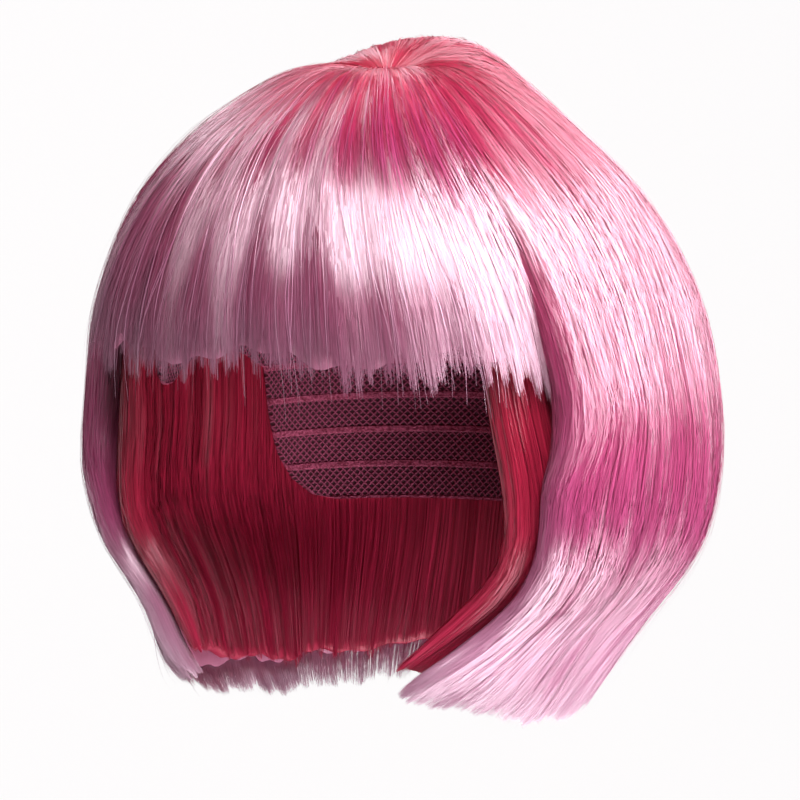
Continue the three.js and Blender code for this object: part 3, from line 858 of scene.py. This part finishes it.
def lock_height(column, place):
    """Locks with a furrow between each two, deeper on one side than on the other."""
    lock = np.floor(column / lock_columns)
    part = column / lock_columns - lock
    up = np.interp(part, [0, 0.12, 0.36, 0.66, 0.9, 1], [-1, -0.62, 0, -0.25, -0.8, -1])
    lift = 0.75 + 0.25 * np.sin(2.4 * column / lock_columns)
    return lock_relief * lift * smooth(place, whorl_ring, under_ring) * up


def outer_heights(place, column, is_fringe, spread=0.0):
    """The top and the bottom of the outer layer over the form."""
    if is_fringe:
        round_ = column * column_angle * (1 + spread * smooth(place, 4, fringe_end))
        floor_height = seat_gap + np.where(np.abs(round_) > fringe_edge, under_top(place, round_) + 1.0, 0)
        end = smooth(np.abs(column), fringe_column - 2 * lock_columns, fringe_column)
        tuck = end * smooth(place, 4.5, girth_ring)
    else:
        round_ = drawn_back(place, column)
        under = under_top(place, round_)
        floor_height = seat_gap + np.where(under > 0, under + layer_gap, 0)
        tuck = 0
    depth = hair_depth(place, round_) * mix(1, fringe_end_share + 0.3, tuck)
    top = np.maximum(depth + lock_share * lock_height(column, place), floor_height + tip_depth)
    return round_, top, floor_height


def outer_piece(node, first, last, end, strands, rows, seed, light, deep, clumps, ragged):
    """One piece of the outer layer: its body, a little under the surface, and the strands over it."""
    is_fringe = node == "fringe"
    columns = np.linspace(first, last, 2 * (last - first) + 1)
    ring_rows = int(2.5 * (end - whorl_ring)) + 1
    length = np.linspace(0, 1, ring_rows)[:, None]
    # the body stops short of the tips, which are loose strands, and narrows to them
    loose = 0.5 if is_fringe else 1.5
    short = whorl_ring + (end - loose - tip_cut(columns)[None, :] / ring_pitch - whorl_ring) * length
    column = np.broadcast_to(columns, short.shape)
    round_, top, low = outer_heights(short, column, is_fringe)
    body_top = np.maximum(top - 1.2 - 0.8 * smooth(length, 0.6, 1.0), low + 0.6)
    body_low = mix(low, body_top - 0.8, smooth(length, 0.9, 1.0))
    for edge in (0, -1):
        if abs(columns[edge]) == fringe_column:
            half = 0.5 * (body_top[:, edge] + body_low[:, edge])
            body_top[:, edge], body_low[:, edge] = half + 0.4, half - 0.4
    hair_body(node + "_body", above(short, round_, body_top), above(short, round_, body_low),
              body_pink, node)
    # the sheet starts inside the whorl, and overlaps its neighbours a little
    before = first if abs(first) == fringe_column else first - overlap
    after = last if abs(last) == fringe_column else last + overlap
    columns = np.linspace(before, after, 2 * (last - first) + 1)
    length = np.linspace(0, 1, int(3 * (end - whorl_ring)) + 1)[:, None]
    lower = 0.55 * smooth(np.abs(columns)[None, :], 8, fringe_column) if is_fringe else 0
    place = strand_start + (end + lower - tip_cut(columns)[None, :] / ring_pitch - strand_start) * length
    column = np.broadcast_to(columns, place.shape)
    round_, top, low = outer_heights(place, column, is_fringe, fringe_fan)
    parts = [above(place, round_, top)]
    normals = [form_normal(place, round_)]
    if not is_fringe:
        for sign, edge in ((1, 0), (-1, -1)):
            if abs(columns[edge]) != fringe_column:
                continue
            turned, turned_normals = front_turn(
                place[:, edge], round_[:, edge], low[:, edge], top[:, edge], sign)
            if edge == 0:
                parts.insert(0, turned)
                normals.insert(0, turned_normals)
            else:
                parts.append(turned[:, ::-1])
                normals.append(turned_normals[:, ::-1])
    sheet, facing = flow_sheet(node + "_flow", np.concatenate(parts, 1), np.concatenate(normals, 1))
    material = hair_material(node + "_fibre", strands, light, deep)
    lay_strands(node + "_strands", sheet, material, node, "hair_pink", Strands=strands, Rows=rows, Seed=seed,
                Facing=facing, Width=0.00036, Low=-0.0011, High=0.0002, Roll=0.5, Ripple=0.00026,
                Clumps=clumps, Ragged=ragged)


# Painted shade in the deep crimson at the root end (0 to 0.2); the pale tip end (0.8 to 1) is partly the
# fibre's own tone and partly painted light from below.
pale_stops = [
    (0.0, (0.68, 0.012, 0.07)), (0.2, (0.58, 0.02, 0.1)), (0.45, (0.52, 0.04, 0.17)),
    (0.66, (0.55, 0.07, 0.24)), (0.8, (0.66, 0.28, 0.44)), (1.0, (0.80, 0.50, 0.66)),
]
rose_stops = [
    (0.0, (0.34, 0.002, 0.015)), (0.2, (0.26, 0.003, 0.03)), (0.45, (0.22, 0.006, 0.05)),
    (0.66, (0.28, 0.014, 0.09)), (0.8, (0.46, 0.13, 0.27)), (1.0, (0.62, 0.28, 0.43)),
]
body_stops = [(0.0, (0.26, 0.01, 0.04)), (1.0, (0.40, 0.05, 0.13))]
body_pink = base_material("hair_body_pink", rose_stops, body_stops)
for node, first, last, strands, seed, clumps in (
    ("hair_back", side_column, back_column, 5800, 321, 150.0),
    ("hair_left", fringe_column, side_column, 5600, 322, 110.0),
    ("hair_right", -side_column, -fringe_column, 5600, 323, 110.0),
):
    outer_piece(node, first, last, last_ring, strands, outer_rows, seed, pale_stops, rose_stops, clumps,
                outer_ragged)

# Fringe. The same fibre combed forward and cut straight over the brow, its ends tucked under the side hair.
# It is deeper in tone than the sides, because less of its length is pale, and its deep crimson at the root
# and through its lower part is painted shade.
fringe_pale = [
    (0.0, (0.75, 0.012, 0.06)), (0.35, (0.66, 0.02, 0.1)), (0.6, (0.42, 0.025, 0.12)),
    (0.85, (0.45, 0.09, 0.21)), (1.0, (0.52, 0.22, 0.35)),
]
fringe_rose = [
    (0.0, (0.4, 0.002, 0.015)), (0.35, (0.3, 0.003, 0.025)), (0.6, (0.16, 0.003, 0.025)),
    (0.85, (0.18, 0.01, 0.05)), (1.0, (0.3, 0.08, 0.16)),
]
fringe_strands, fringe_rows, fringe_ragged = 8500, 11, 0.05
outer_piece("fringe", -fringe_column, fringe_column, fringe_end, fringe_strands, fringe_rows, 331,
            fringe_pale, fringe_rose, 130.0, fringe_ragged)

# Loose hairs. Single strands of the outer layer that have sprung out of it, beside the face, over the crown
# and below the fringe.
loose_start, loose_rows = 0.6, 22


def loose_hairs(name, node, first, last, end, strands, seed, stray):
    columns = np.linspace(first, last, 2 * int(abs(last - first)) + 3)
    length = np.linspace(0, 1, 40)[:, None]
    place = loose_start + (end - loose_start) * length + np.zeros((1, len(columns)))
    column = np.broadcast_to(columns, place.shape)
    round_, top, _ = outer_heights(place, column, node == "fringe", fringe_fan)
    sheet, facing = flow_sheet(name + "_flow", above(place, round_, top + 0.3), form_normal(place, round_))
    material = hair_material(name + "_fibre", strands, pale_stops, rose_stops)
    lay_strands(name, sheet, material, node, "hair_pink", Strands=strands, Rows=loose_rows, Seed=seed,
                Facing=facing, Width=0.00022, Low=0.0, High=0.0006, Clumps=8.0, Wander=0.07, Stray=stray,
                Ripple=0.0016, **{"Clump Pull": 0.0, "Root Spread": 0.5, "Tip Spread": 0.25})


loose_hairs("fringe_loose", "fringe", -fringe_column, fringe_column, fringe_end + 0.25, 200, 341, 0.004)
loose_hairs("hair_left_loose", "hair_left", fringe_column, side_column, last_ring, 160, 342, 0.006)
loose_hairs("hair_right_loose", "hair_right", -side_column, -fringe_column, last_ring, 160, 343, 0.006)
loose_hairs("hair_back_loose", "hair_back", side_column, back_column, last_ring, 160, 344, 0.006)
